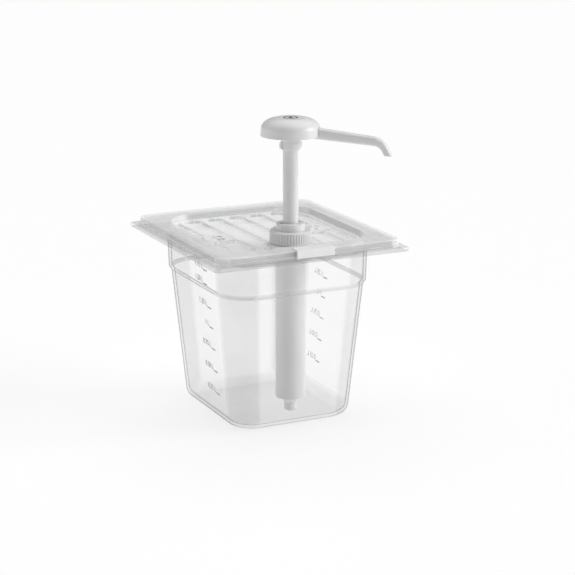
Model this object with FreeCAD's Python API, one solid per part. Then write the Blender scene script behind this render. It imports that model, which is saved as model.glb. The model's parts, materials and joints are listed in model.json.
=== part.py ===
import FreeCAD, Part
import math
import os

V = FreeCAD.Vector
UP = V(0, 0, 1)

# All sizes are millimetres. The origin is the middle of the container's base, on the counter.
# +X runs along the narrow front edge, +Y to the back and +Z up.

# ---- container: gastronorm 1/6 footprint ----
flange_x = 162.0            # front edge of the flange
flange_y = 176.0            # side edge of the flange
flange_corner = 4.0
flange_top = 140.0          # height of the container
flange_thickness = 3.0
flange_round = 0.9
wall = 2.0
floor_thickness = 2.6
band_inset = 16.8           # flange edge to the upper wall, under the flange
band_draft = 0.6            # further inset at the bottom of the upper wall
band_corner = 29.0
step_top = 110.2            # stacking shoulder
step_height = 3.0
step_depth = 2.0
step_round = 0.7
body_draft = 10.0           # further inset of the lower wall from the shoulder to the base
body_corner = 27.5
base_corner = 22.0
base_fillet = 9.0

# ---- lid ----
lid_inset = 3.7             # flange edge to the lid's foot
lid_corner = 11.0
lid_height = 6.0            # lid above the flange
lid_wall = 1.6
rest_gap = 0.1              # lid foot above the flange
foot_height = 1.6
foot_ledge = 0.9
rim_round = 1.5             # top outer edge
plug_gap = 0.7              # plug skirt to the mouth
plug_wall = 1.5             # plug skirt, and the wall of the recess that stands on it
plug_depth = 7.0            # plug skirt below the flange top
recess_draft = 1.0          # the recess is this much wider at the lid's top
recess_round = 1.0
panel_rise = 1.0            # rib tops above the flange
channel_depth = 2.3
channel_pitch = 18.6
channel_rib = 3.0
channel_corner = 6.0
channel_narrowest = 6.0     # no channel is cut where less than this is left
channel_margin = 2.5        # channel ends to the recess wall
panel_floor = 1.8           # thickness under the channels
plate_x = 21.0              # raised data plates on the panel
plate_y = 22.0
plate_rise = 0.5
plate_offset_x = 41.0
plate_offset_y = -1.0
plate_corner = 2.0
clip_x = 1.6                # middle of the clip, right of the lid's middle
clip_width = 31.4
clip_thickness = 1.2
clip_leg = 9.0
clip_round = 0.55

# ---- pump: everything is turned about an axis near the front of the lid ----
pump_x = 0.0
pump_setback = 43.2         # front edge of the flange to the pump's axis
edge_break = 0.5            # small chamfers
fit_gap = 0.05              # radial running clearance
slip_gap = 0.15             # radial clearance of pieces that only pass each other
barrel_bore = 10.1
barrel_wall = 1.6
barrel_bottom = 20.2        # where the straight barrel ends
nose_top = 14.0
nose_bottom = 9.0
nose_r = 4.9
nose_bore = 2.5
cone_bottom = 16.0          # inlet valve seat
chamber_step = 0.7          # valve chamber's radius over the cage's
chamber_depth = 3.5         # straight part of the valve chamber
flange_width = 2.3          # barrel's top flange
flange_seat = 1.5
spigot_rise = 1.8           # barrel above its flange, through the cap
dome_steps = 6              # points along a curved shoulder

gasket_thickness = 0.8
gasket_margin = 1.0         # hole in the lid to the gasket
gasket_width = 2.6
base_margin = 1.1           # flared foot of the neck fitting beyond the gasket
base_height = 2.2
base_flare = 1.7
boss_margin = 2.7           # flat of the lid beyond the flared foot
sleeve_wall = 1.45
sleeve_drop = 6.6           # threaded sleeve below the nut's top face
hole_gap = 0.3
nut_wall = 4.3
nut_height = 5.4
nut_notches = 6
nut_notch_r = 2.2
nut_notch_out = 0.6         # notch centres outside the nut
neck_wall = 2.55
thread_depth = 0.5
thread_turns = 3

cap_height = 9.8
cap_top = 1.6
cap_wall = 1.6
cap_ribs = 48
cap_rib_depth = 0.45
cap_edge = 1.0              # chamfer round the cap's top
cap_gap = 0.3               # cap above the neck's foot

guide_step = 0.7            # guide ring's radius under the barrel's
guide_rise = 5.2
guide_depth = 16.5          # bush below the top of the barrel
notch_width = 3.2
notch_height = 2.8
wiper_wall = 2.1
wiper_height = 2.0
wiper_drop = 9.0

stroke = 54.0
bush_wall = 4.15            # guide bush between the barrel and the stem
stem_bore = 3.6
piston_gap = 0.3            # piston top below the guide bush
piston_length = 14.5
piston_play = 0.5           # piston to the barrel's bore; the seal fills it
piston_floor = 2.0
foot_gap = 0.1              # stem's foot above the piston's floor
piston_port = 3.5
boss_drop = 4.0             # spring boss below the piston
boss_gap = 0.5
seal_depth = 1.6
seal_height = 5.0
seal_lip = 1.0
seal_slope = 0.8
seal_rise = 4.5             # seal's bottom above the piston's bottom
snap_depth = 1.0            # collar on the stem's foot
snap_height = 2.5
snap_rise = 2.0

wire_r = 0.8
coil_gap = 1.1              # spring to the barrel's bore
coil_count = 14

valve_lift = 2.5
ball_gap = 0.1              # ball to its stop at full lift
ball_play = 1.5             # inlet ball to its cage
cage_gap = 0.6              # inlet cage to the spring
cage_wall = 1.3
cage_flange = 1.5
cage_spigot = 2.5
cage_bar = 1.6
outlet_ball_r = 3.0
outlet_chamber_r = 4.6
outlet_port = 2.0
outlet_seat_height = 4.0
outlet_seat_lip = 1.2
outlet_cage_wall = 0.9
outlet_cage_height = 3.0
outlet_bar = 1.2

collar_wall = 1.65
collar_height = 5.6
collar_lug = 1.1
collar_lug_width = 3.0
collar_lug_rise = 1.2
head_drop = 2.4             # lock collar above the guide ring, head pressed down
hub_neck_wall = 1.4
hub_neck_height = 5.3
hub_step = 2.2              # hub's radius over its neck's
hub_height = 9.6
hub_roof = 3.0
hub_chamber_r = 4.2
stem_entry = 0.8            # stem above the hub's shoulder
ring_width = 0.8
ring_height = 1.2
ring_drop = 4.0

dome_r = 23.0
dome_band = 5.0             # near-vertical rim
dome_band_draft = 0.5
dome_height = 13.4
dome_wall = 1.9
dome_top_r = 9.0            # flat thumb area
badge_r = 6.5
badge_thickness = 0.8
grip_wall = 1.4
slot_gap = 0.3

spout_angle = -41.0         # about +Z from +X, at rest
spout_bore = 2.2
spout_start = 4.0           # distance from the axis where the arm begins, inside the hub
spout_rise = 3.8            # centre line over the dome's rim, there
spout_fall = 5.2            # degrees below level
bend_start = 64.0           # distance from the axis
bend_radius = 11.0
bend_fall = 62.0            # degrees below level at the tip
bend_steps = 14
spout_tip_drop = 12.1       # tip below the dome's rim
root_height = 9.2           # section of the arm at its root
root_width = 8.6
bend_height = 6.8           # and where the bend begins
bend_width = 7.0
tip_height = 5.2            # and at the tip
tip_width = 5.6
section_round = 0.34        # corner radius of the section, as a share of its height

# ---- places worked out from the sizes above ----
step_bottom = step_top - step_height
body_inset = band_inset + band_draft + step_depth
base_inset = body_inset + body_draft
lid_bottom = flange_top + rest_gap
lid_top = flange_top + lid_height
plug_inset = band_inset + wall + plug_gap
panel_top = flange_top + panel_rise
panel_bottom = panel_top - channel_depth - panel_floor
plug_corner = band_corner - wall - plug_gap
panel_inset = plug_inset + plug_wall
panel_corner = plug_corner - plug_wall
pump_y = pump_setback - flange_y / 2

barrel_r = barrel_bore + barrel_wall
flange_r = barrel_r + flange_width
neck_in = barrel_r + slip_gap
neck_r = neck_in + neck_wall
cap_r = neck_r + slip_gap + cap_wall
sleeve_r = neck_in + sleeve_wall
nut_r = sleeve_r + nut_wall
hole_r = sleeve_r + hole_gap
gasket_in = hole_r + gasket_margin
gasket_out = gasket_in + gasket_width
base_r = gasket_out + base_margin
boss_r = base_r + boss_margin
guide_r = barrel_r - guide_step

coil_r = barrel_bore - coil_gap - wire_r
cage_out = coil_r - wire_r - cage_gap
cage_in = cage_out - cage_wall
chamber_r = cage_out + chamber_step
inlet_ball_r = cage_in - ball_play
cone_top = cone_bottom + chamber_r - nose_bore
bore_floor = cone_top + chamber_depth

stem_r = barrel_bore - bush_wall - fit_gap
snap_r = stem_r + snap_depth
wiper_r = stem_r + wiper_wall
collar_r = stem_r + collar_wall
ring_r = stem_r + ring_width
hub_neck_r = stem_r + hub_neck_wall
hub_r = hub_neck_r + hub_step
piston_r = barrel_bore - piston_play
seal_in = piston_r - seal_depth

cap_bottom = panel_top + base_height + cap_gap
cap_top_z = cap_bottom + cap_height
barrel_flange_z = cap_top_z - cap_top - flange_seat
neck_top = barrel_flange_z - gasket_thickness
barrel_top = barrel_flange_z + flange_seat + spigot_rise
guide_top = barrel_top + guide_rise
guide_bottom = barrel_top - guide_depth
piston_top = guide_bottom - piston_gap
piston_bottom = piston_top - piston_length
stem_bottom = piston_bottom + piston_floor + foot_gap
collar_bottom = guide_top + stroke + head_drop
collar_top = collar_bottom + collar_height
rim_z = collar_top + hub_neck_height
stem_top = rim_z + stem_entry
dome_top = rim_z + dome_height


# ---- helpers ----
def rounded_rect(half_x, half_y, radius, z):
    """Closed wire of a rectangle with round corners, centred on the origin."""
    corners = [(1, 1), (-1, 1), (-1, -1), (1, -1)]
    edges = []
    last = None
    first = None
    for i, (sx, sy) in enumerate(corners):
        centre = V(sx * (half_x - radius), sy * (half_y - radius), z)
        start = math.radians(90 * i)
        points = [centre + V(radius * math.cos(a), radius * math.sin(a), 0)
                  for a in (start, start + math.pi / 4, start + math.pi / 2)]
        if last is not None:
            edges.append(Part.LineSegment(last, points[0]).toShape())
        else:
            first = points[0]
        edges.append(Part.Arc(*points).toShape())
        last = points[2]
    edges.append(Part.LineSegment(last, first).toShape())
    return Part.Wire(edges)


def inset_rect(inset, radius, z):
    """Rounded rectangle that lies inset from the flange's edge."""
    return rounded_rect(flange_x / 2 - inset, flange_y / 2 - inset, radius, z)


def loft(sections):
    """Straight-sided solid through (inset, corner radius, height) sections."""
    wires = [inset_rect(inset, radius, z) for inset, radius, z in sections]
    return Part.makeLoft(wires, True, True)


def slab(inset, radius, low, high):
    return loft([(inset, radius, low), (inset, radius, high)])


def tube(outer, inner, low, high):
    """Ring on the pump's axis; a solid cylinder where inner is 0."""
    body = Part.makeCylinder(outer, high - low, V(0, 0, low))
    if inner:
        body = body.cut(Part.makeCylinder(inner, high - low + 2, V(0, 0, low - 1)))
    return body


def turned(points):
    """Solid of revolution about the pump's axis through (radius, height) points."""
    ring = [V(r, 0, z) for r, z in points]
    face = Part.Face(Part.makePolygon(ring + ring[:1]))
    return face.revolve(V(0, 0, 0), UP, 360)


def round_level(shape, z, radius):
    """Rounds every edge that lies level at height z."""
    edges = [e for e in shape.Edges
             if abs(e.BoundBox.ZMin - z) < 0.001 and abs(e.BoundBox.ZMax - z) < 0.001]
    return shape.makeFillet(radius, edges)


def spun(shape, angle):
    copy = shape.copy()
    copy.rotate(V(0, 0, 0), UP, angle)
    return copy


def ring_of(shape, count):
    return [spun(shape, 360.0 * i / count) for i in range(count)]


def block(x0, x1, y0, y1, z0, z1):
    return Part.makeBox(x1 - x0, y1 - y0, z1 - z0, V(x0, y0, z0))


# ---- container ----
def make_container():
    drop = body_draft / step_bottom
    outer = loft([
        (base_inset, base_corner, 0),
        (body_inset, body_corner, step_bottom),
        (band_inset + band_draft, band_corner, step_top),
        (band_inset, band_corner, flange_top),
    ])
    base_edges = [e for e in outer.Edges if e.BoundBox.ZMax < 0.001]
    outer = outer.makeFillet(base_fillet, base_edges)
    low = floor_thickness
    lift = 0.4 * wall       # keeps the shoulder as thick as the walls
    inner = loft([
        (base_inset - drop * low + wall, base_corner - wall, low),
        (body_inset + wall, body_corner - wall, step_bottom + lift),
        (band_inset + band_draft + wall, band_corner - wall, step_top + lift),
        (band_inset + wall, band_corner - wall, flange_top),
    ])
    inner_edges = [e for e in inner.Edges if e.BoundBox.ZMax < low + 0.001]
    inner = inner.makeFillet(base_fillet - wall, inner_edges)
    outer = round_level(outer, step_top, step_round)
    flange = slab(0, flange_corner, flange_top - flange_thickness, flange_top)
    flange = round_level(flange, flange_top, flange_round)
    flange = round_level(flange, flange_top - flange_thickness, flange_round)
    return outer.fuse(flange).cut(inner).removeSplitter()


# ---- lid and what is fixed in it ----
def channel(index):
    """One sunken channel of the lid's panel, with round ends."""
    middle = channel_pitch * index
    half = (channel_pitch - channel_rib) / 2
    limit = flange_x / 2 - panel_inset - channel_margin
    x0 = max(middle - half, -limit)
    x1 = min(middle + half, limit)
    half_y = flange_y / 2 - panel_inset - channel_margin
    radius = min(channel_corner, (x1 - x0) / 2 - 0.5)
    low = panel_top - channel_depth
    wires = [rounded_rect((x1 - x0) / 2, half_y, radius, z) for z in (low, panel_top + 1)]
    cutter = Part.makeLoft(wires, True, True)
    cutter.translate(V((x0 + x1) / 2, 0, 0))
    return cutter


def data_plate(side):
    low = panel_top - channel_depth
    wires = [rounded_rect(plate_x / 2, plate_y / 2, plate_corner, z) for z in (low, panel_top + plate_rise)]
    plate = Part.makeLoft(wires, True, True)
    plate.translate(V(side * plate_offset_x, plate_offset_y, 0))
    return plate


def make_lid():
    foot_top = lid_bottom + foot_height
    skirt = lid_inset + foot_ledge
    roof = lid_top - lid_wall
    shell = slab(lid_inset, lid_corner, lid_bottom, foot_top)
    upper = slab(skirt, lid_corner - foot_ledge, foot_top, lid_top)
    upper = round_level(upper, lid_top, rim_round)
    plug = slab(plug_inset, plug_corner, flange_top - plug_depth, roof)
    body = shell.fuse([upper, plug])

    hollow = slab(skirt + lid_wall, lid_corner - foot_ledge - lid_wall, lid_bottom - 1, roof)
    hollow = hollow.cut(slab(plug_inset, plug_corner, lid_bottom - 2, roof + 1))
    under = slab(panel_inset, panel_corner, flange_top - plug_depth - 1, panel_bottom)
    recess = loft([
        (panel_inset, panel_corner, panel_top),
        (panel_inset - recess_draft, panel_corner + recess_draft, lid_top),
    ])
    recess = round_level(recess, panel_top, recess_round)
    body = body.cut([hollow, under, recess])

    outermost = flange_x / 2 - panel_inset - channel_margin + (channel_pitch - channel_rib) / 2
    half_count = int((outermost - channel_narrowest) / channel_pitch)
    channels = [channel(i) for i in range(-half_count, half_count + 1)]
    boss = Part.makeCylinder(boss_r, channel_depth + 2, V(pump_x, pump_y, panel_top - channel_depth - 1))
    field = slab(panel_inset + channel_margin, panel_corner - channel_margin,
                 panel_top - channel_depth, panel_top + 1)
    channels = [c.common(field).cut(boss) for c in channels]
    body = body.cut(channels)
    body = body.fuse([data_plate(-1), data_plate(1)])
    hole = Part.makeCylinder(hole_r, 20, V(pump_x, pump_y, panel_bottom - 5))
    return body.cut(hole).removeSplitter()


def make_id_clip():
    front = -(flange_y / 2 - lid_inset)
    bottom = lid_bottom + rest_gap
    left = clip_x - clip_width / 2
    right = clip_x + clip_width / 2
    plate = block(left, right, front - clip_thickness, front, bottom, lid_top + clip_thickness)
    leg = block(left, right, front, front - clip_thickness + clip_leg,
                lid_top, lid_top + clip_thickness)
    clip = plate.fuse(leg).removeSplitter()
    edges = [e for e in clip.Edges
             if abs(e.BoundBox.YMin - (front - clip_thickness)) < 0.001
             and abs(e.BoundBox.YMax - (front - clip_thickness)) < 0.001]
    return clip.makeFillet(clip_round, edges)


def make_neck_gasket():
    return tube(gasket_out, gasket_in, panel_top, panel_top + gasket_thickness)


def make_neck_fitting():
    foot_top = panel_top + base_height
    points = [
        (neck_in, panel_bottom - sleeve_drop),
        (sleeve_r, panel_bottom - sleeve_drop),
        (sleeve_r, panel_top),
        (gasket_in, panel_top),
        (gasket_in, panel_top + gasket_thickness),
        (gasket_out, panel_top + gasket_thickness),
        (gasket_out, panel_top),
        (base_r, panel_top),
        (base_r, panel_top + base_height / 3),
        (base_r - base_flare, foot_top),
    ]
    root = neck_r - thread_depth
    pitch = (neck_top - foot_top) / (thread_turns + 0.5)
    points.append((root, foot_top))
    for turn in range(thread_turns):
        z = foot_top + (turn + 0.25) * pitch
        points += [(root, z), (neck_r, z + pitch / 4)]
        points += [(neck_r, z + pitch / 2), (root, z + pitch * 3 / 4)]
    points += [(root, neck_top), (neck_in, neck_top)]
    return turned(points)


def make_neck_nut():
    nut = tube(nut_r, sleeve_r, panel_bottom - nut_height, panel_bottom)
    foot = V(nut_r + nut_notch_out, 0, panel_bottom - nut_height - 1)
    notch = Part.makeCylinder(nut_notch_r, nut_height + 2, foot)
    return nut.cut(ring_of(notch, nut_notches))


def make_closure_cap():
    """Cap with fine vertical ribs round its skirt."""
    points = []
    for i in range(2 * cap_ribs):
        angle = math.pi * i / cap_ribs
        radius = cap_r if i % 2 == 0 else cap_r - cap_rib_depth
        points.append(V(radius * math.cos(angle), radius * math.sin(angle), cap_bottom))
    ribbed = Part.Face(Part.makePolygon(points + points[:1])).extrude(V(0, 0, cap_height))
    chamfer = turned([
        (0, cap_bottom), (cap_r + slip_gap, cap_bottom), (cap_r + slip_gap, cap_top_z - cap_edge),
        (cap_r - cap_edge, cap_top_z), (0, cap_top_z),
    ])
    skirt = tube(neck_r + slip_gap, 0, cap_bottom - 1, cap_top_z - cap_top)
    hole = tube(barrel_r + slip_gap, 0, cap_bottom, cap_top_z + 1)
    return ribbed.common(chamfer).cut([skirt, hole])


def make_barrel_gasket():
    return tube(flange_r, neck_in, neck_top, barrel_flange_z)


def make_barrel():
    """Cylinder, top flange and inlet nose; the seat cone fits the ball."""
    shoulder = []
    for i in range(dome_steps + 1):
        angle = math.pi / 2 * i / dome_steps
        shoulder.append((nose_r + (barrel_r - nose_r) * (1 - math.cos(angle)),
                         nose_top + (barrel_bottom - nose_top) * math.sin(angle)))
    points = [(nose_bore, nose_bottom), (nose_r - edge_break, nose_bottom)]
    points += [(nose_r, nose_bottom + edge_break)]
    points += shoulder
    points += [
        (barrel_r, barrel_flange_z), (flange_r, barrel_flange_z),
        (flange_r, barrel_flange_z + flange_seat), (barrel_r, barrel_flange_z + flange_seat),
        (barrel_r, barrel_top), (barrel_bore, barrel_top),
        (barrel_bore, bore_floor), (chamber_r, bore_floor), (chamber_r, cone_top), (nose_bore, cone_bottom),
    ]
    return turned(points)


def make_guide_ring():
    """Ring on top of the barrel with a long bush that guides the stem."""
    bore = stem_r + fit_gap
    wiper_z = guide_top - wiper_drop
    points = [
        (bore, guide_bottom), (barrel_bore - edge_break, guide_bottom),
        (barrel_bore, guide_bottom + edge_break), (barrel_bore, barrel_top), (guide_r, barrel_top),
        (guide_r, guide_top - edge_break), (guide_r - edge_break, guide_top), (bore, guide_top),
        (bore, wiper_z + wiper_height), (wiper_r, wiper_z + wiper_height),
        (wiper_r, wiper_z), (bore, wiper_z),
    ]
    notch = block(0, collar_r + collar_lug + slip_gap, -notch_width / 2, notch_width / 2,
                  guide_top - notch_height, guide_top + 1)
    return turned(points).cut(ring_of(notch, 2))


def make_stem_wiper():
    low = guide_top - wiper_drop
    return tube(wiper_r, stem_r + fit_gap / 2, low, low + wiper_height)


# ---- inlet valve and spring ----
def ball_rest(seat_low, port, radius):
    """Height of a ball's centre on a 45 degree seat that starts at radius port."""
    contact = radius * math.sin(math.radians(45))
    return seat_low + (contact - port) + contact


def make_inlet_ball():
    centre = ball_rest(cone_bottom, nose_bore, inlet_ball_r + fit_gap)
    return Part.makeSphere(inlet_ball_r, V(0, 0, centre))


def cage_stop():
    centre = ball_rest(cone_bottom, nose_bore, inlet_ball_r + fit_gap)
    return centre + inlet_ball_r + valve_lift + ball_gap


def make_ball_cage():
    stop = cage_stop()
    flange = tube(barrel_bore, cage_in, bore_floor, bore_floor + cage_flange)
    spigot = tube(chamber_r, cage_in, bore_floor - cage_spigot, bore_floor + cage_flange)
    crown = tube(cage_out, cage_in, bore_floor, stop + cage_flange)
    reach = (cage_in + cage_out) / 2
    bar = block(-reach, reach, -cage_bar / 2, cage_bar / 2, stop, stop + cage_flange)
    return flange.fuse([spigot, crown, bar, spun(bar, 90)]).removeSplitter()


def make_return_spring():
    low = bore_floor + cage_flange + wire_r
    high = piston_bottom - wire_r
    path = Part.makeHelix((high - low) / coil_count, high - low, coil_r)
    section = Part.Wire(Part.makeCircle(wire_r, V(coil_r, 0, 0), V(0, 1, 0)))
    coil = Part.Wire(path).makePipeShell([section], True, True)
    coil.translate(V(0, 0, low))
    return coil


# ---- piston ----
def make_piston():
    socket = snap_r + 2 * fit_gap
    snap_low = stem_bottom + snap_rise - foot_gap
    snap_high = snap_low + snap_height + 2 * foot_gap
    boss = coil_r - wire_r - boss_gap
    seal_low = piston_bottom + seal_rise
    return turned([
        (piston_port, piston_bottom - boss_drop), (boss - edge_break, piston_bottom - boss_drop),
        (boss, piston_bottom - boss_drop + edge_break), (boss, piston_bottom),
        (piston_r, piston_bottom), (piston_r, seal_low), (seal_in, seal_low),
        (seal_in, seal_low + seal_height), (piston_r, seal_low + seal_height),
        (piston_r, piston_top), (stem_r + fit_gap, piston_top),
        (stem_r + fit_gap, snap_high), (socket, snap_high), (socket, snap_low),
        (stem_r + fit_gap, snap_low), (stem_r + fit_gap, piston_bottom + piston_floor),
        (piston_port, piston_bottom + piston_floor),
    ])


def make_piston_seal():
    """Lip seal: full radius at both lips, relieved between them."""
    low = piston_bottom + seal_rise
    lip = barrel_bore - fit_gap
    relief = piston_r + fit_gap
    high = low + seal_height
    return turned([
        (seal_in, low), (lip, low), (lip, low + seal_lip), (relief, low + seal_lip + seal_slope),
        (relief, high - seal_lip - seal_slope), (lip, high - seal_lip), (lip, high), (seal_in, high),
    ])


# ---- plunger head ----
def outlet_seat_low():
    return stem_bottom + outlet_seat_height - (outlet_chamber_r - outlet_seat_lip - outlet_port)


def outlet_centre():
    return ball_rest(outlet_seat_low(), outlet_port, outlet_ball_r + fit_gap)


def outlet_stop():
    return outlet_centre() + outlet_ball_r + valve_lift + ball_gap


def make_stem():
    snap_low = stem_bottom + snap_rise
    cage_low = outlet_stop()
    return turned([
        (outlet_chamber_r, stem_bottom), (stem_r, stem_bottom), (stem_r, snap_low),
        (snap_r, snap_low), (snap_r, snap_low + snap_height), (stem_r, snap_low + snap_height),
        (stem_r, stem_top), (stem_bore, stem_top),
        (stem_bore, cage_low + outlet_cage_height), (outlet_chamber_r, cage_low + outlet_cage_height),
    ])


def make_outlet_seat():
    low = outlet_seat_low()
    top = stem_bottom + outlet_seat_height
    mouth = outlet_chamber_r - outlet_seat_lip
    return turned([
        (outlet_port, stem_bottom), (outlet_chamber_r, stem_bottom), (outlet_chamber_r, top),
        (mouth, top), (outlet_port, low),
    ])


def make_outlet_ball():
    return Part.makeSphere(outlet_ball_r, V(0, 0, outlet_centre()))


def make_outlet_cage():
    low = outlet_stop()
    ring = tube(outlet_chamber_r, outlet_chamber_r - outlet_cage_wall, low, low + outlet_cage_height)
    reach = outlet_chamber_r - outlet_cage_wall / 2
    bar = block(-reach, reach, -outlet_bar / 2, outlet_bar / 2, low, low + outlet_cage_height / 2)
    return ring.fuse([bar, spun(bar, 90)]).removeSplitter()


def make_lock_collar():
    """Collar with two bayonet lugs that match the guide ring's notches."""
    ring = turned([
        (stem_r, collar_bottom), (collar_r - edge_break, collar_bottom),
        (collar_r, collar_bottom + edge_break), (collar_r, collar_top), (stem_r, collar_top),
    ])
    lug = block((stem_r + collar_r) / 2, collar_r + collar_lug,
                -collar_lug_width / 2, collar_lug_width / 2,
                collar_bottom + collar_lug_rise, collar_top)
    return ring.fuse(ring_of(lug, 2)).removeSplitter()


def make_hub_o_ring():
    low = rim_z - ring_drop
    return tube(ring_r, stem_r, low, low + ring_height)


def spout_line():
    """Centre line of the spout: (reach, rise, fall, height, width) from the hub to past the tip."""
    slope = math.radians(spout_fall)
    run = bend_start - spout_start
    stations = [(spout_start, spout_rise, spout_fall, root_height, root_width)]
    reach = bend_start
    rise = spout_rise - run * math.tan(slope)
    for i in range(bend_steps + 1):
        share = i / bend_steps
        fall = spout_fall + (bend_fall - spout_fall) * share
        turn = math.radians(fall)
        stations.append((
            reach + bend_radius * (math.sin(turn) - math.sin(slope)),
            rise - bend_radius * (math.cos(slope) - math.cos(turn)),
            fall,
            bend_height + (tip_height - bend_height) * share,
            bend_width + (tip_width - bend_width) * share,
        ))
    reach, rise, fall, height, width = stations[-1]
    past = 2 * bend_radius
    turn = math.radians(fall)
    stations.append((reach + past * math.cos(turn), rise - past * math.sin(turn), fall, height, width))
    return stations


def across(wire, reach, rise, fall):
    """Stands a wire drawn in X (sideways) and Y (upwards) across the spout's centre line."""
    wire.rotate(V(0, 0, 0), V(1, 0, 0), 90)
    wire.rotate(V(0, 0, 0), V(0, 0, 1), 90)
    wire.rotate(V(0, 0, 0), V(0, 1, 0), fall)
    wire.translate(V(reach, 0, rim_z + rise))
    return wire


def spout_arm(grow):
    wires = []
    for reach, rise, fall, height, width in spout_line():
        corner = section_round * height
        section = rounded_rect(width / 2 + grow, height / 2 + grow, corner, 0)
        wires.append(across(section, reach, rise, fall))
    return Part.makeLoft(wires, True, True)


def spout_channel():
    wires = []
    for reach, rise, fall, height, width in spout_line():
        section = Part.Wire(Part.makeCircle(spout_bore, V(0, 0, 0), UP))
        wires.append(across(section, reach, rise, fall))
    return Part.makeLoft(wires, True, True)


def make_spout():
    hub_top = rim_z + hub_height
    hub = turned([
        (0, collar_top), (hub_neck_r, collar_top), (hub_neck_r, rim_z),
        (hub_r, rim_z), (hub_r, hub_top), (0, hub_top),
    ])
    arm = spout_arm(0)
    below = block(0, 2 * bend_start, -hub_r, hub_r, 0, rim_z - spout_tip_drop)
    body = hub.fuse(arm.cut(below))
    socket = tube(stem_r, 0, collar_top - 1, stem_top)
    groove = tube(ring_r, 0, rim_z - ring_drop, rim_z - ring_drop + ring_height)
    chamber = tube(hub_chamber_r, 0, stem_top, hub_top - hub_roof)
    body = body.cut([socket, groove, chamber, spout_channel()]).removeSplitter()
    return spun(body, spout_angle)


def dome_solid(offset):
    """Solid dome, offset inwards: a near-vertical band, an elliptical shoulder and a flat top."""
    band_r = dome_r - dome_band_draft - offset
    band_z = rim_z + dome_band
    run = band_r - dome_top_r
    rise = dome_top - offset - band_z
    turns = [math.pi / 2 * i / dome_steps for i in range(dome_steps + 1)]
    shoulder = [V(dome_top_r + run * math.cos(a), 0, band_z + rise * math.sin(a)) for a in turns]
    curve = Part.BSplineCurve()
    curve.interpolate(shoulder, InitialTangent=V(0, 0, 1), FinalTangent=V(-1, 0, 0))
    foot = V(dome_r - offset, 0, rim_z)
    middle = V(0, 0, rim_z)
    peak = V(0, 0, dome_top - offset)
    edges = [
        Part.LineSegment(middle, foot).toShape(),
        Part.LineSegment(foot, shoulder[0]).toShape(),
        curve.toShape(),
        Part.LineSegment(shoulder[-1], peak).toShape(),
        Part.LineSegment(peak, middle).toShape(),
    ]
    return Part.Face(Part.Wire(edges)).revolve(V(0, 0, 0), UP, 360)


def make_dome_badge():
    return tube(badge_r, 0, dome_top - badge_thickness, dome_top)


def make_dome_cover():
    shell = dome_solid(0).cut(dome_solid(dome_wall))
    grip = tube(hub_r + grip_wall, hub_r + fit_gap, rim_z + hub_height / 2, dome_top - dome_wall)
    slot = spun(spout_arm(slot_gap), spout_angle)
    seat = tube(badge_r, 0, dome_top - badge_thickness, dome_top + 1)
    return shell.fuse(grip).cut([slot, seat]).removeSplitter()


# ---- write one file for each piece ----
standing = {
    "container": make_container,
    "lid": make_lid,
    "id_clip": make_id_clip,
}
on_pump_axis = {
    "neck_gasket": make_neck_gasket,
    "neck_fitting": make_neck_fitting,
    "neck_nut": make_neck_nut,
    "closure_cap": make_closure_cap,
    "barrel_gasket": make_barrel_gasket,
    "barrel": make_barrel,
    "guide_ring": make_guide_ring,
    "stem_wiper": make_stem_wiper,
    "ball_cage": make_ball_cage,
    "inlet_ball": make_inlet_ball,
    "return_spring": make_return_spring,
    "piston": make_piston,
    "piston_seal": make_piston_seal,
    "stem": make_stem,
    "outlet_seat": make_outlet_seat,
    "outlet_ball": make_outlet_ball,
    "outlet_cage": make_outlet_cage,
    "lock_collar": make_lock_collar,
    "hub_o_ring": make_hub_o_ring,
    "spout": make_spout,
    "dome_cover": make_dome_cover,
    "dome_badge": make_dome_badge,
}

os.makedirs("parts", exist_ok=True)
for node, make in standing.items():
    make().exportStep("parts/" + node + ".step")
for node, make in on_pump_axis.items():
    shape = make()
    shape.translate(V(pump_x, pump_y, 0))
    shape.exportStep("parts/" + node + ".step")
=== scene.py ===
import json
import math

import bpy
from mathutils import Matrix, Vector


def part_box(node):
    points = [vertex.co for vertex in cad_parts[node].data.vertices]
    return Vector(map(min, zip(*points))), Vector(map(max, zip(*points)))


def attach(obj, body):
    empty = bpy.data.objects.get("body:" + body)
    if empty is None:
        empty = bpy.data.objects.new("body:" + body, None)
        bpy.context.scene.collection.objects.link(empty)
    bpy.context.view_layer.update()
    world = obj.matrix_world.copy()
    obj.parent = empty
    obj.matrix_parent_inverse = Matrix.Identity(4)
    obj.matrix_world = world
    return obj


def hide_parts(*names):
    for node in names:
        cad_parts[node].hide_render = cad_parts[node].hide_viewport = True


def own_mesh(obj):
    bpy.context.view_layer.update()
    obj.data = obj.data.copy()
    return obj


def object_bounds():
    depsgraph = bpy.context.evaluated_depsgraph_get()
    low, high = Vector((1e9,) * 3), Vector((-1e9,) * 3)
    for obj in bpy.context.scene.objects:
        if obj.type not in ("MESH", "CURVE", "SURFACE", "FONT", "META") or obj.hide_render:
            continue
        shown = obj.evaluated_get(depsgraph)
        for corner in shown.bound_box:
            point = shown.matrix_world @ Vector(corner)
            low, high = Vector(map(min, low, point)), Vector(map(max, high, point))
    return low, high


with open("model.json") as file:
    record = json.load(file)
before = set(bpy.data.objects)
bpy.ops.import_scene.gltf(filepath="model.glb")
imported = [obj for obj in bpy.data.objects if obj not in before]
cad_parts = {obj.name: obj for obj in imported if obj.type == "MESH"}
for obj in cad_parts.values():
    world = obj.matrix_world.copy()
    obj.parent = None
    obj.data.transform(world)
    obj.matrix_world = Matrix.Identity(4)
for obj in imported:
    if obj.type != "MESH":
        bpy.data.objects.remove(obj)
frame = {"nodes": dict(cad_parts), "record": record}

cadLow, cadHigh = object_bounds()
cadNodes = frame["nodes"]
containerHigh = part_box("container")[1]
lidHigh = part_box("lid")[1]
mm = 0.001
plasticIor = 1.49


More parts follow.
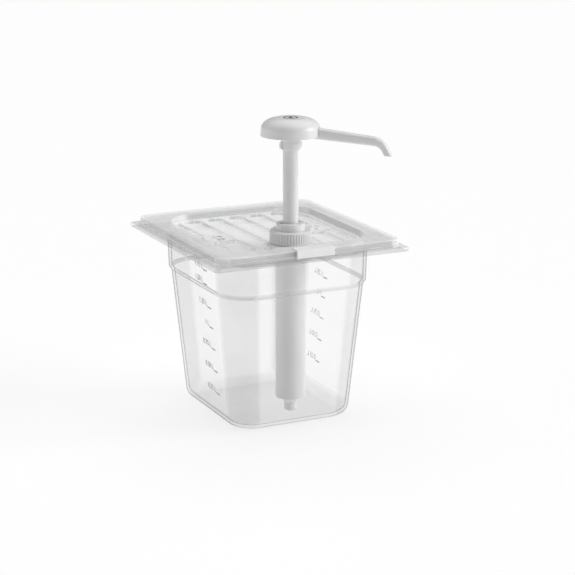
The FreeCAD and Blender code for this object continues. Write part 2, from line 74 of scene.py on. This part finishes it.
# small helpers for node trees
def newTree(tree, kind, place, **sockets):
    node = tree.nodes.new(kind)
    node.location = place
    for name, value in sockets.items():
        node.inputs[name].default_value = value
    return node


def wire(tree, fromSocket, toSocket):
    tree.links.new(fromSocket, toSocket)


def mathNode(tree, operation, first, second, place, clamp=False):
    node = tree.nodes.new("ShaderNodeMath")
    node.operation = operation
    node.use_clamp = clamp
    node.location = place
    for socket, value in zip(node.inputs, (first, second)):
        if isinstance(value, (int, float)):
            socket.default_value = value
        else:
            tree.links.new(value, socket)
    return node.outputs[0]


def rampBetween(tree, value, lowIn, highIn, lowOut, highOut, place):
    node = tree.nodes.new("ShaderNodeMapRange")
    node.location = place
    node.interpolation_type = "SMOOTHSTEP"
    tree.links.new(value, node.inputs["Value"])
    node.inputs["From Min"].default_value = lowIn
    node.inputs["From Max"].default_value = highIn
    node.inputs["To Min"].default_value = lowOut
    node.inputs["To Max"].default_value = highOut
    return node.outputs["Result"]


def mixColours(tree, factor, first, second, place):
    node = tree.nodes.new("ShaderNodeMix")
    node.data_type = "RGBA"
    node.location = place
    tree.links.new(factor, node.inputs["Factor"])
    for socket, value in ((node.inputs["A"], first), (node.inputs["B"], second)):
        if isinstance(value, tuple):
            socket.default_value = (*value, 1)
        else:
            tree.links.new(value, socket)
    return node.outputs["Result"]


def mixValues(tree, factor, first, second, place):
    node = tree.nodes.new("ShaderNodeMix")
    node.location = place
    tree.links.new(factor, node.inputs["Factor"])
    for socket, value in ((node.inputs["A"], first), (node.inputs["B"], second)):
        if isinstance(value, (int, float)):
            socket.default_value = value
        else:
            tree.links.new(value, socket)
    return node.outputs["Result"]


def newGroup(name, inputs, outputs):
    group = bpy.data.node_groups.new(name, "ShaderNodeTree")
    for label, value in inputs.items():
        socket = group.interface.new_socket(label, in_out="INPUT", socket_type="NodeSocketFloat")
        socket.default_value = value
    for label, kind in outputs.items():
        group.interface.new_socket(label, in_out="OUTPUT", socket_type=kind)
    start = group.nodes.new("NodeGroupInput")
    start.location = (-900, 0)
    end = group.nodes.new("NodeGroupOutput")
    end.location = (900, 0)
    return group, start, end


def noise(tree, place, coordinates, scale, detail=3.0, roughness=0.55):
    node = tree.nodes.new("ShaderNodeTexNoise")
    node.location = place
    tree.links.new(coordinates, node.inputs["Vector"])
    if isinstance(scale, (int, float)):
        node.inputs["Scale"].default_value = scale
    else:
        tree.links.new(scale, node.inputs["Scale"])
    node.inputs["Detail"].default_value = detail
    node.inputs["Roughness"].default_value = roughness
    return node.outputs["Fac"]


def makeMouldedSkin():
    # the fine skin that a steel mould leaves on plastic: slow waviness, small pitting
    group, start, end = newGroup(
        "Moulded Skin",
        {"Grain Scale": 900.0, "Wave Scale": 60.0, "Roughness": 0.35, "Spread": 0.1, "Bump": 0.1},
        {"Roughness": "NodeSocketFloat", "Shade": "NodeSocketFloat", "Normal": "NodeSocketVector"},
    )
    place = newTree(group, "ShaderNodeTexCoord", (-900, 300)).outputs["Object"]
    grain = noise(group, (-600, 300), place, start.outputs["Grain Scale"], 4.0, 0.6)
    wave = noise(group, (-600, 0), place, start.outputs["Wave Scale"], 2.0, 0.5)
    both = mathNode(group, "ADD", grain, wave, (-400, 150))
    centred = mathNode(group, "SUBTRACT", both, 1.0, (-250, 150))
    swing = mathNode(group, "MULTIPLY", centred, start.outputs["Spread"], (-100, 200))
    rough = mathNode(group, "ADD", swing, start.outputs["Roughness"], (50, 200), clamp=True)
    height = mathNode(group, "MULTIPLY", both, start.outputs["Bump"], (-100, -100))
    bump = newTree(group, "ShaderNodeBump", (150, -100), Strength=1.0, Distance=0.00012)
    wire(group, height, bump.inputs["Height"])
    wire(group, rough, end.inputs["Roughness"])
    wire(group, wave, end.inputs["Shade"])
    wire(group, bump.outputs["Normal"], end.inputs["Normal"])
    return group


def makeHairScratches():
    # thin scratches from washing and stacking, running mostly one way
    group, start, end = newGroup(
        "Hair Scratches",
        {"Scale": 40.0, "Stretch": 14.0, "Amount": 0.35},
        {"Mask": "NodeSocketFloat"},
    )
    place = newTree(group, "ShaderNodeTexCoord", (-900, 300)).outputs["Object"]
    turned = newTree(group, "ShaderNodeMapping", (-700, 300))
    turned.inputs["Rotation"].default_value = (0.3, 0.5, 0.2)
    wire(group, place, turned.inputs["Vector"])
    scale = newTree(group, "ShaderNodeCombineXYZ", (-700, 0))
    wire(group, start.outputs["Stretch"], scale.inputs["X"])
    wire(group, start.outputs["Stretch"], scale.inputs["Y"])
    scale.inputs["Z"].default_value = 1.0
    stretched = newTree(group, "ShaderNodeVectorMath", (-500, 150))
    stretched.operation = "MULTIPLY"
    wire(group, turned.outputs["Vector"], stretched.inputs[0])
    wire(group, scale.outputs["Vector"], stretched.inputs[1])
    lines = noise(group, (-300, 150), stretched.outputs["Vector"], start.outputs["Scale"], 5.0, 0.7)
    sharp = rampBetween(group, lines, 0.62, 0.74, 0.0, 1.0, (-50, 150))
    mask = mathNode(group, "MULTIPLY", sharp, start.outputs["Amount"], (200, 150))
    wire(group, mask, end.inputs["Mask"])
    return group


def makeCloudyMelt():
    # slow clouds and flow lines in natural, uncoloured plastic
    group, start, end = newGroup(
        "Cloudy Melt",
        {"Scale": 18.0, "Low": 0.85, "High": 1.15},
        {"Value": "NodeSocketFloat"},
    )
    place = newTree(group, "ShaderNodeTexCoord", (-900, 300)).outputs["Object"]
    cloud = noise(group, (-500, 200), place, start.outputs["Scale"], 4.0, 0.5)
    spread = mathNode(group, "SUBTRACT", start.outputs["High"], start.outputs["Low"], (-300, 0))
    share = rampBetween(group, cloud, 0.3, 0.7, 0.0, 1.0, (-250, 250))
    swing = mathNode(group, "MULTIPLY", share, spread, (0, 150))
    value = mathNode(group, "ADD", swing, start.outputs["Low"], (200, 100))
    wire(group, value, end.inputs["Value"])
    return group


groups = {
    "skin": makeMouldedSkin(),
    "scratches": makeHairScratches(),
    "cloud": makeCloudyMelt(),
}
print("shared effects ready")


def placeGroup(tree, key, place, **values):
    node = tree.nodes.new("ShaderNodeGroup")
    node.node_tree = groups[key]
    node.location = place
    for name, value in values.items():
        node.inputs[name.replace("_", " ")].default_value = value
    return node


def newMaterial(name):
    material = bpy.data.materials.new(name)
    material.use_nodes = True
    tree = material.node_tree
    shader = tree.nodes["Principled BSDF"]
    shader.location = (300, 0)
    tree.nodes["Material Output"].location = (600, 0)
    return material, tree, shader


containerLook = {
    "face": (0.66, 0.665, 0.67),
    "thick": (0.34, 0.345, 0.35),       # painted shade: darker on round corners, shoulder and base, by which way their faces turn
    # painted shade: darker colour where a wall is looked along, for the dark lines refraction draws
    "edge": (0.09, 0.092, 0.096),
    "faceAlpha": 0.07,
    "sideAlpha": 0.02,                  # the long flat side walls
    "thickAlpha": 0.17,
    "edgeAlpha": 0.85,
    "edgeStart": 0.58,
    "insideShare": 0.5,                 # inner surfaces against outer ones
    "levelShare": 0.6,
    "shoulder": (0.73, 0.82),           # heights between which the shoulder lies, as shares of the whole
    "shoulderAlpha": 0.5,
    "roughness": 0.2,
}
lidLook = {
    "face": (0.62, 0.625, 0.63),
    # painted light and shade: level tops of the rim lighter, upright faces darker (face)
    "thick": (0.93, 0.93, 0.93),
    # painted light: the panel's level faces lighter still
    "panel": (0.97, 0.97, 0.97),
    # painted shade: darker colour where the lid is looked along
    "edge": (0.16, 0.165, 0.17),
    "faceAlpha": 0.45,
    "panelAlpha": 0.7,
    "panelDepth": 2.5,                  # millimetres under the rim's top where the panel's finish begins
    "panelBlend": 1.5,
    "thickAlpha": 0.5,
    "edgeAlpha": 0.85,
    "edgeStart": 0.82,
    "insideShare": 0.15,
    "levelShare": 1.0,
    "roughness": 0.3,
}


wallMasks = {                               # where each mask starts and is full
    "corner": (0.03, 0.22),                 # product of the normal's two level parts
    "level": (0.22, 0.75),                  # upright part of the normal
    "side": (0.982, 0.994),                 # sideways part of the normal
}
wallFlaws = {
    "cloud": {"Scale": 16.0, "Low": 0.85, "High": 1.2},
    "scratches": {"Scale": 30.0, "Amount": 0.06},
}


def wallParts(tree):
    # masks from the shape itself: round corners, level parts, flat sides, each 0 to 1
    coordinates = newTree(tree, "ShaderNodeTexCoord", (-1700, -400))
    absolute = newTree(tree, "ShaderNodeVectorMath", (-1500, -400))
    absolute.operation = "ABSOLUTE"
    wire(tree, coordinates.outputs["Normal"], absolute.inputs[0])
    split = newTree(tree, "ShaderNodeSeparateXYZ", (-1330, -400))
    wire(tree, absolute.outputs["Vector"], split.inputs["Vector"])
    crossed = mathNode(tree, "MULTIPLY", split.outputs["X"], split.outputs["Y"], (-1150, -300))
    corner = rampBetween(tree, crossed, *wallMasks["corner"], 0.0, 1.0, (-980, -300))
    level = rampBetween(tree, split.outputs["Z"], *wallMasks["level"], 0.0, 1.0, (-980, -550))
    side = rampBetween(tree, split.outputs["X"], *wallMasks["side"], 0.0, 1.0, (-980, -800))
    height = newTree(tree, "ShaderNodeSeparateXYZ", (-1330, -950))
    wire(tree, coordinates.outputs["Object"], height.inputs["Vector"])
    return height.outputs["Z"], corner, level, side


def seeThroughPlastic(name, look):
    # thin natural polypropylene: clear face on and closed where it is looked along; the darker colour
    # there is painted shade, and the colour set by which way a face turns is painted light and shade
    material, tree, shader = newMaterial(name)
    height, corner, level, side = wallParts(tree)
    facing = newTree(tree, "ShaderNodeLayerWeight", (-1150, 400), Blend=0.5).outputs["Facing"]
    along = rampBetween(tree, facing, look["edgeStart"], 1.0, 0.0, 1.0, (-980, 400))
    cloud = placeGroup(tree, "cloud", (-980, 50), **wallFlaws["cloud"]).outputs["Value"]
    scratches = placeGroup(tree, "scratches", (-980, -120), **wallFlaws["scratches"]).outputs["Mask"]
    skin = placeGroup(tree, "skin", (-300, -500), Grain_Scale=700.0, Wave_Scale=45.0,
                      Roughness=look["roughness"], Spread=0.12, Bump=0.3)
    levelShare = mathNode(tree, "MULTIPLY", level, look["levelShare"], (-900, -550))
    thick = mathNode(tree, "MAXIMUM", corner, levelShare, (-780, -400))
    # painted light and shade: colour set by which way a face turns
    colour = mixColours(tree, thick, look["face"], look["thick"], (-600, 300))
    clear = mixValues(tree, thick, look["faceAlpha"], look["thickAlpha"], (-600, 100))
    if "panel" in look:
        panelLine = lidHigh.z - look["panelDepth"] * mm
        panelFull = panelLine - look["panelBlend"] * mm
        low = rampBetween(tree, height, panelLine, panelFull, 0.0, 1.0, (-1150, -950))
        deep = mathNode(tree, "MULTIPLY", low, level, (-780, -800))
        # painted light: lighter colour on the lid panel's level faces
        colour = mixColours(tree, deep, colour, look["panel"], (-420, 300))
        clear = mixValues(tree, deep, clear, look["panelAlpha"], (-420, 100))
    else:
        bottom, top = [containerHigh.z * share for share in look["shoulder"]]
        overBottom = rampBetween(tree, height, bottom, bottom + mm, 0.0, 1.0, (-1150, -950))
        underTop = rampBetween(tree, height, top, top - mm, 0.0, 1.0, (-1150, -1150))
        zone = mathNode(tree, "MULTIPLY", overBottom, underTop, (-980, -1000))
        shoulder = mathNode(tree, "MULTIPLY", zone, level, (-780, -900))
        clear = mixValues(tree, side, clear, look["sideAlpha"], (-560, 0))
        clear = mixValues(tree, shoulder, clear, look["shoulderAlpha"], (-420, 100))
    clouded = mathNode(tree, "MULTIPLY", clear, cloud, (-250, 50))
    scuffed = mathNode(tree, "ADD", clouded, scratches, (-100, 0))
    backface = newTree(tree, "ShaderNodeNewGeometry", (-420, -150)).outputs["Backfacing"]
    inside = mixValues(tree, backface, 1.0, look["insideShare"], (-250, -150))
    scuffed = mathNode(tree, "MULTIPLY", scuffed, inside, (-100, -150))
    closed = mathNode(tree, "MULTIPLY", along, look["edgeAlpha"], (-250, 200))
    alpha = mathNode(tree, "MAXIMUM", scuffed, closed, (50, 100), clamp=True)
    # painted shade: darker colour where the surface is looked along
    colour = mixColours(tree, along, colour, look["edge"], (50, 350))
    wire(tree, colour, shader.inputs["Base Color"])
    wire(tree, alpha, shader.inputs["Alpha"])
    wire(tree, skin.outputs["Roughness"], shader.inputs["Roughness"])
    wire(tree, skin.outputs["Normal"], shader.inputs["Normal"])
    shader.inputs["IOR"].default_value = plasticIor
    return material


def mouldedPlastic(name, colour, shade, roughness, grain=900.0, bump=0.25):
    material, tree, shader = newMaterial(name)
    skin = placeGroup(tree, "skin", (-600, 0), Grain_Scale=grain, Wave_Scale=70.0,
                      Roughness=roughness, Spread=0.14, Bump=bump)
    tinted = mixColours(tree, skin.outputs["Shade"], colour, shade, (-200, 200))
    wire(tree, tinted, shader.inputs["Base Color"])
    wire(tree, skin.outputs["Roughness"], shader.inputs["Roughness"])
    wire(tree, skin.outputs["Normal"], shader.inputs["Normal"])
    shader.inputs["IOR"].default_value = plasticIor
    return material


steelDulling = 0.86             # the darker end of the steel's shade against the lighter


def steel(name, colour, roughness):
    material, tree, shader = newMaterial(name)
    skin = placeGroup(tree, "skin", (-600, 0), Grain_Scale=1600.0, Wave_Scale=200.0,
                      Roughness=roughness, Spread=0.12, Bump=0.1)
    dulled = tuple(steelDulling * c for c in colour)
    tinted = mixColours(tree, skin.outputs["Shade"], colour, dulled, (-200, 200))
    wire(tree, tinted, shader.inputs["Base Color"])
    wire(tree, skin.outputs["Roughness"], shader.inputs["Roughness"])
    wire(tree, skin.outputs["Normal"], shader.inputs["Normal"])
    shader.inputs["Metallic"].default_value = 1.0
    return material


whitePlastic = {"colour": (0.80, 0.80, 0.80), "shade": (0.765, 0.765, 0.77)}
finishes = {
    "container_plastic": seeThroughPlastic("naturalContainer", containerLook),
    "lid_plastic": seeThroughPlastic("naturalLid", lidLook),
    "pump_plastic": mouldedPlastic("whitePump", **whitePlastic, roughness=0.3),
    "stem_plastic": mouldedPlastic(
        "glossyStem", (0.78, 0.78, 0.785), (0.74, 0.74, 0.745), roughness=0.15, grain=500.0, bump=0.12),
    "clip_plastic": mouldedPlastic("mattClip", (0.88, 0.88, 0.88), (0.84, 0.84, 0.84), roughness=0.5),
    "barrel_plastic": mouldedPlastic("satinBarrel", **whitePlastic, roughness=0.36),
    "seal_rubber": mouldedPlastic(
        "silicone", (0.62, 0.62, 0.60), (0.56, 0.56, 0.55), roughness=0.6, grain=1200.0, bump=0.4),
    "spring_steel": steel("springSteel", (0.62, 0.61, 0.6), roughness=0.3),
    "valve_steel": steel("valveSteel", (0.72, 0.71, 0.7), roughness=0.12),
    "badge_plastic": mouldedPlastic("satinBadge", **whitePlastic, roughness=0.36),
}
for row in frame["record"]["subparts"]:
    node = cadNodes[row["node"]]
    node.data.materials.clear()
    node.data.materials.append(finishes[row["material_slot"]])
print("finishes on", len(cadNodes), "pieces")


springLook = {
    "joint": "plunger_press",
    "body": "lid",
}


def makeSpringCoil(look):
    # the spring's wire as a copy of its own, carried with the lid; the real spring closes up towards its
    # foot as the plunger goes down, this copy does not
    node = cadNodes["return_spring"]
    coil = bpy.data.objects.new("spring_coil", node.data.copy())
    coil.matrix_world = node.matrix_world.copy()
    bpy.context.scene.collection.objects.link(coil)
    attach(coil, look["body"])
    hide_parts("return_spring")
    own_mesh(coil)


makeSpringCoil(springLook)


graduations = {
    "labels": ["0.25 L", "0.50 L", "0.75 L", "1 L", "1.25 L", "1.50 L", "1.75 L"],
    "heights": [23.2, 41.6, 59.9, 77.3, 93.5, 112.6, 123.6],      # millimetres over the base
    "digitHeight": 4.6,
    "dashLength": 7.0,
    "dashWidth": 0.9,
    "thickness": 0.12,
    "labelAt": 1.08,            # where the label starts, in dash lengths
    "dashAt": {-1: -30.5, 1: 12.0},     # front end of the dashes on the left and right wall
}
plateMarks = {
    "left": ["1/6", "PP"],
    "right": ["1.7 L", "5"],
    "across": 41.0,             # middle of the lid to the middle of a plate
    "firstRow": -0.05,          # baseline of the first row to the lid's middle
    "rowPitch": 9.5,
    "digitHeight": 5.0,
    "thickness": 0.3,
}
pressMark = {
    "outer": 5.6,
    "inner": 4.5,
    "arrow": [(-0.75, 2.9), (0.75, 2.9), (0.75, -0.2), (2.3, -0.2),
              (0, -3.0), (-2.3, -0.2), (-0.75, -0.2)],
    "thickness": 0.12,
    "steps": 48,
    "turn": -25.0,              # degrees, so that the arrow points at the user
}
capHeight = 0.74                # height of a digit as a share of its font size

printedInk = {"grain": 1500.0, "bump": 0.2}
inkMaterial = mouldedPlastic("greyInk", (0.20, 0.20, 0.21), (0.27, 0.27, 0.28), 0.45, **printedInk)
# lighter grey ink, used for the right wall's marks
rightWallInkMaterial = mouldedPlastic("lighterInk", (0.55, 0.55, 0.56), (0.64, 0.64, 0.65), 0.5, **printedInk)
markMaterial = mouldedPlastic("blackInk", (0.02, 0.02, 0.022), (0.035, 0.035, 0.038), 0.4, **printedInk)
# the raised marks' darker grey is painted shade for the shading along the raised letters
raisedMaterial = mouldedPlastic("raisedMarks", (0.40, 0.405, 0.41), (0.46, 0.465, 0.47), 0.4, bump=0.3)


def textMesh(label, height, thickness, align="RIGHT"):
    curve = bpy.data.curves.new("lettering", "FONT")
    curve.body = label
    curve.size = height / capHeight
    curve.align_x = align
    curve.extrude = thickness / 2
    curve.resolution_u = 3
    holder = bpy.data.objects.new("lettering", curve)
    bpy.context.scene.collection.objects.link(holder)
    bpy.context.view_layer.update()
    solid = holder.evaluated_get(bpy.context.evaluated_depsgraph_get())
    mesh = bpy.data.meshes.new_from_object(solid)
    bpy.data.objects.remove(holder)
    bpy.data.curves.remove(curve)
    return mesh


def prismMesh(outline, thickness, hole=None):
    # a flat shape of even thickness; hole is an inner outline with as many points
    count = len(outline)
    rings = [outline] + ([hole] if hole else [])
    verts = [(x, y, z) for ring in rings for z in (0, thickness) for x, y in ring]
    faces = []
    for i in range(count):
        j = (i + 1) % count
        faces.append((i, j, count + j, count + i))
        if hole:
            faces.append((2 * count + j, 2 * count + i, 3 * count + i, 3 * count + j))
            faces.append((count + i, count + j, 3 * count + j, 3 * count + i))
            faces.append((j, i, 2 * count + i, 2 * count + j))
    if not hole:
        faces.append(tuple(range(count, 2 * count)))
        faces.append(tuple(reversed(range(count))))
    mesh = bpy.data.meshes.new("prism")
    mesh.from_pydata(verts, [], faces)
    return mesh


def joinedPiece(name, parts, material):
    # parts are (mesh, matrix); the result is one object in the frame's own place
    verts = []
    faces = []
    for mesh, matrix in parts:
        first = len(verts)
        verts += [matrix @ v.co for v in mesh.vertices]
        faces += [tuple(first + i for i in f.vertices) for f in mesh.polygons]
        bpy.data.meshes.remove(mesh)
    joined = bpy.data.meshes.new(name)
    joined.from_pydata(verts, [], faces)
    joined.materials.append(material)
    piece = bpy.data.objects.new(name, joined)
    bpy.context.scene.collection.objects.link(piece)
    return piece


def wallFrame(side, y, z):
    # a place on the outer face of a side wall: x towards the text's right, y up, z outwards
    start = Vector((2 * side * containerHigh.x, y, z))      # well outside the wall
    place, normal = cadNodes["container"].ray_cast(start, Vector((-side, 0, 0)))[1:3]
    along = Vector((0, side, 0))
    up = normal.cross(along).normalized()
    matrix = Matrix((along, up, normal)).transposed().to_4x4()
    matrix.translation = place
    return matrix


def makeGraduations(name, side, look, ink):
    parts = []
    length = look["dashLength"] * mm
    width = look["dashWidth"] * mm
    lift = look["thickness"] * mm
    reach = side * length       # the dash and its label run away from the front
    align = "LEFT" if side > 0 else "RIGHT"
    for label, height in zip(look["labels"], look["heights"]):
        here = wallFrame(side, look["dashAt"][side] * mm, height * mm)
        left, right = sorted((0.0, reach))
        dash = prismMesh([(left, 0), (right, 0), (right, width), (left, width)], lift)
        words = textMesh(label, look["digitHeight"] * mm, lift, align)
        parts.append((dash, here))
        parts.append((words, here @ Matrix.Translation((reach * look["labelAt"], width, lift / 2))))
    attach(joinedPiece(name, parts, ink), "container")


def makePlateMarks(look):
    parts = []
    for side, labels in ((-1, look["left"]), (1, look["right"])):
        for row, label in enumerate(labels):
            y = (look["firstRow"] - row * look["rowPitch"]) * mm
            start = Vector((side * look["across"] * mm, y, 2 * lidHigh.z))
            place = cadNodes["lid"].ray_cast(start, Vector((0, 0, -1)))[1]
            words = textMesh(label, look["digitHeight"] * mm, look["thickness"] * mm, "CENTER")
            parts.append((words, Matrix.Translation(place)))
    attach(joinedPiece("plate_marks", parts, raisedMaterial), "lid")


def makePressMark(look):
    low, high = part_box("dome_badge")
    middle = Vector(((low.x + high.x) / 2, (low.y + high.y) / 2, high.z))
    place = Matrix.Translation(middle) @ Matrix.Rotation(math.radians(look["turn"]), 4, "Z")
    turns = [2 * math.pi * i / look["steps"] for i in range(look["steps"])]
    outer, inner = [[(look[r] * mm * math.cos(a), look[r] * mm * math.sin(a)) for a in turns]
                    for r in ("outer", "inner")]
    ring = prismMesh(outer, look["thickness"] * mm, inner)
    arrow = prismMesh([(x * mm, y * mm) for x, y in reversed(look["arrow"])], look["thickness"] * mm)
    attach(joinedPiece("press_mark", [(ring, place), (arrow, place)], markMaterial), "head")


makeGraduations("graduations_left", -1, graduations, inkMaterial)
makeGraduations("graduations_right", 1, graduations, rightWallInkMaterial)
makePlateMarks(plateMarks)
makePressMark(pressMark)
print("printed and raised marks ready")


stageLook = {
    "floorSize": 30.0,
    "floorGap": 0.0002,         # metres between the floor and the lowest point
    "floorColour": (0.36, 0.36, 0.36),
    "floorShade": 0.99,
    "floorGlow": 0.65,
    "floorRoughness": 0.55,
    "floorGloss": 0.12,
    "sky": 0.12,                # light from all round
    "backdrop": 1.0,            # how bright the surroundings look where they are seen
}


def makeFloor(look):
    half = look["floorSize"] / 2
    mesh = bpy.data.meshes.new("floor")
    corners = [(-half, -half, 0), (half, -half, 0), (half, half, 0), (-half, half, 0)]
    mesh.from_pydata(corners, [], [(0, 1, 2, 3)])
    floor = bpy.data.objects.new("floor", mesh)
    floor.location.z = cadLow.z - look["floorGap"]
    bpy.context.scene.collection.objects.link(floor)
    material, tree, shader = newMaterial("paleFloor")
    skin = placeGroup(tree, "skin", (-600, 0), Grain_Scale=60.0, Wave_Scale=3.0,
                      Roughness=look["floorRoughness"], Spread=0.02, Bump=0.0)
    tinted = mixColours(tree, skin.outputs["Shade"], look["floorColour"],
                        tuple(look["floorShade"] * c for c in look["floorColour"]), (-200, 200))
    wire(tree, tinted, shader.inputs["Base Color"])
    wire(tree, skin.outputs["Roughness"], shader.inputs["Roughness"])
    shader.inputs["Emission Color"].default_value = (1, 1, 1, 1)
    shader.inputs["Emission Strength"].default_value = look["floorGlow"]
    shader.inputs["Specular IOR Level"].default_value = look["floorGloss"]
    mesh.materials.append(material)


lamps = {
    "softboxRight": {"from": (0.87, -0.50, 0.40), "power": 2.1, "spread": 40},
    "softboxLeft": {"from": (-0.90, 0.43, 0.35), "power": 0.5, "spread": 60},
    "overhead": {"from": (0.10, 0.25, 1.0), "power": 1.7, "spread": 80},
}


def makeLamp(name, look):
    light = bpy.data.lights.new(name, "SUN")
    light.energy = look["power"]
    light.angle = math.radians(look["spread"])
    lamp = bpy.data.objects.new(name, light)
    lamp.rotation_euler = (-Vector(look["from"])).to_track_quat("-Z", "Y").to_euler()
    bpy.context.scene.collection.objects.link(lamp)


def makeWorld(look):
    world = bpy.data.worlds.new("studio")
    world.use_nodes = True
    tree = world.node_tree
    background = tree.nodes["Background"]
    background.inputs["Color"].default_value = (1, 1, 1, 1)
    seen = newTree(tree, "ShaderNodeLightPath", (-500, 0)).outputs["Is Camera Ray"]
    strength = mixValues(tree, seen, look["sky"], look["backdrop"], (-250, 0))
    wire(tree, strength, background.inputs["Strength"])
    bpy.context.scene.world = world


cameraLook = {
    "place": (-0.5779, -1.2386),
    "overContainer": 0.3212,     # lens above the container's rim
    "azimuth": -25.73,
    "elevation": 14.94,
    "lens": 111.7,
    "sensor": 36,
    "nearest": 0.05,
    "farthest": 60,
}


def makeCamera(look):
    data = bpy.data.cameras.new("camera")
    data.lens = look["lens"]
    data.sensor_width = look["sensor"]
    data.clip_start = look["nearest"]
    data.clip_end = look["farthest"]
    camera = bpy.data.objects.new("camera", data)
    camera.location = (*look["place"], containerHigh.z + look["overContainer"])
    camera.rotation_euler = (math.radians(90 - look["elevation"]), 0, math.radians(look["azimuth"]))
    bpy.context.scene.collection.objects.link(camera)
    bpy.context.scene.camera = camera


makeFloor(stageLook)
for lampName, lampLook in lamps.items():
    makeLamp(lampName, lampLook)
makeWorld(stageLook)
makeCamera(cameraLook)
scene = bpy.context.scene
scene.view_settings.view_transform = "Standard"
scene.cycles.transparent_max_bounces = 32
scene.cycles.max_bounces = 10
print("stage, lamps and camera ready")
